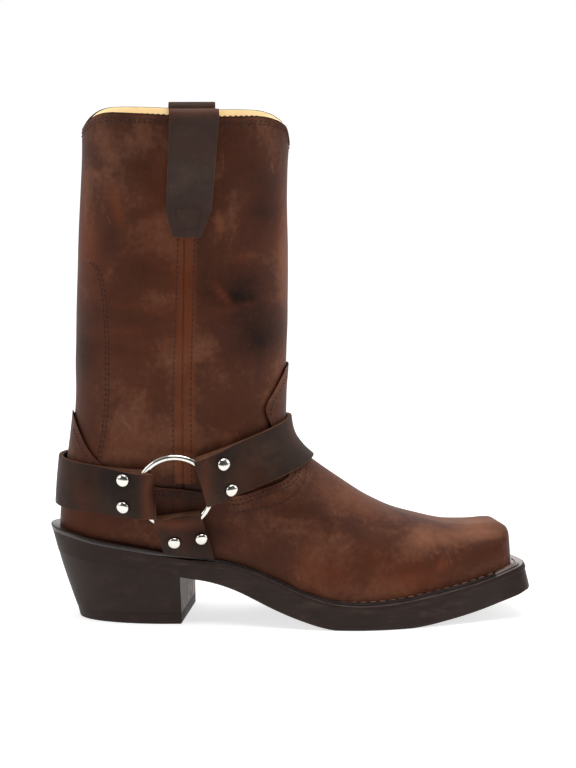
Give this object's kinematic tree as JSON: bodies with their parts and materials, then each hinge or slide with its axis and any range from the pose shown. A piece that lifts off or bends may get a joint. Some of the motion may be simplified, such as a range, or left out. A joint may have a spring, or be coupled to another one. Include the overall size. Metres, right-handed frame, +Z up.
{
  "type": "harness boot",
  "caption": "Tall leather harness boot with a square toe, block heel and ring straps, standing empty on its sole.",
  "frame": {"origin": "centre of the boot's bounding box at the floor", "axes": "+X towards the toe, +Y towards the inner side of the foot, +Z up from the floor to the collar"},
  "size_m": [0.307, 0.1046, 0.3278],
  "materials": {
    "upper_leather": "oiled brown leather with patchy rub-off",
    "strap_leather": "darker oiled leather, thick and smooth",
    "sole_rubber": "matt dark brown",
    "welt_rubber": "matt dark brown with light thread",
    "insole_leather": "tan, matt",
    "nickel": "polished nickel"
  },
  "bodies": {
    "root": {"outsole": "sole_rubber", "welt": "welt_rubber", "heel": "sole_rubber", "top_lift": "sole_rubber", "upper": "upper_leather", "insole": "insole_leather", "vamp": "upper_leather", "counter": "upper_leather", "ring_outer": "nickel", "ring_inner": "nickel", "heel_strap": "strap_leather", "instep_strap": "strap_leather", "down_strap_outer": "strap_leather", "down_strap_inner": "strap_leather", "pull_strap_outer": "strap_leather", "pull_strap_inner": "strap_leather", "rivet_heel_outer_1": "nickel", "rivet_heel_outer_2": "nickel", "rivet_heel_inner_1": "nickel", "rivet_heel_inner_2": "nickel", "rivet_instep_outer_1": "nickel", "rivet_instep_outer_2": "nickel", "rivet_instep_inner_1": "nickel", "rivet_instep_inner_2": "nickel", "rivet_down_outer_1": "nickel", "rivet_down_outer_2": "nickel", "rivet_down_inner_1": "nickel", "rivet_down_inner_2": "nickel"}
  },
  "joints": []
}
